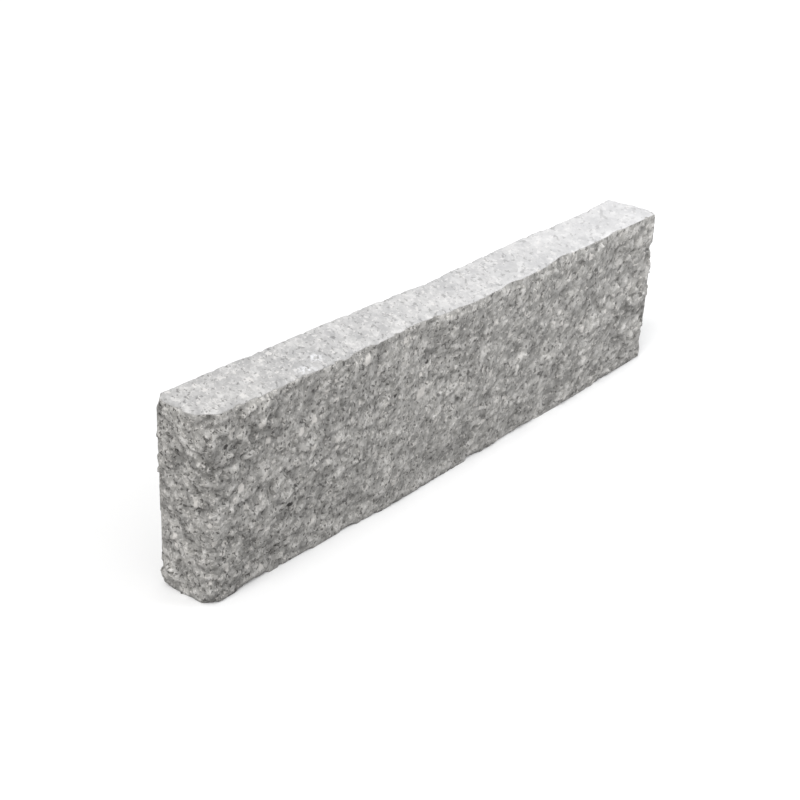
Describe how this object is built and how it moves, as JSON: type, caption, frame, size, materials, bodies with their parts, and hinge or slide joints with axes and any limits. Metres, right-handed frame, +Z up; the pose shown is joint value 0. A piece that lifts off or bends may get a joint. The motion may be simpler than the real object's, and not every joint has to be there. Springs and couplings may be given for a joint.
{
  "type": "granite kerb stone",
  "caption": "Straight granite kerb stone standing on its long edge, with a finely dressed flat top, a level bed and rough split front, back and ends.",
  "frame": {"origin": "middle of the bed, on the floor that the stone stands on", "axes": "+X along the stone from its near end to its far end, +Y from its front face to its back, +Z up from the bed to the dressed top"},
  "size_m": [1.012, 0.1056, 0.25],
  "materials": {
    "granite": "light grey granite, split rough on the sides and finely dressed on top"
  },
  "bodies": {
    "root": {"kerb_stone": "granite"}
  },
  "joints": []
}
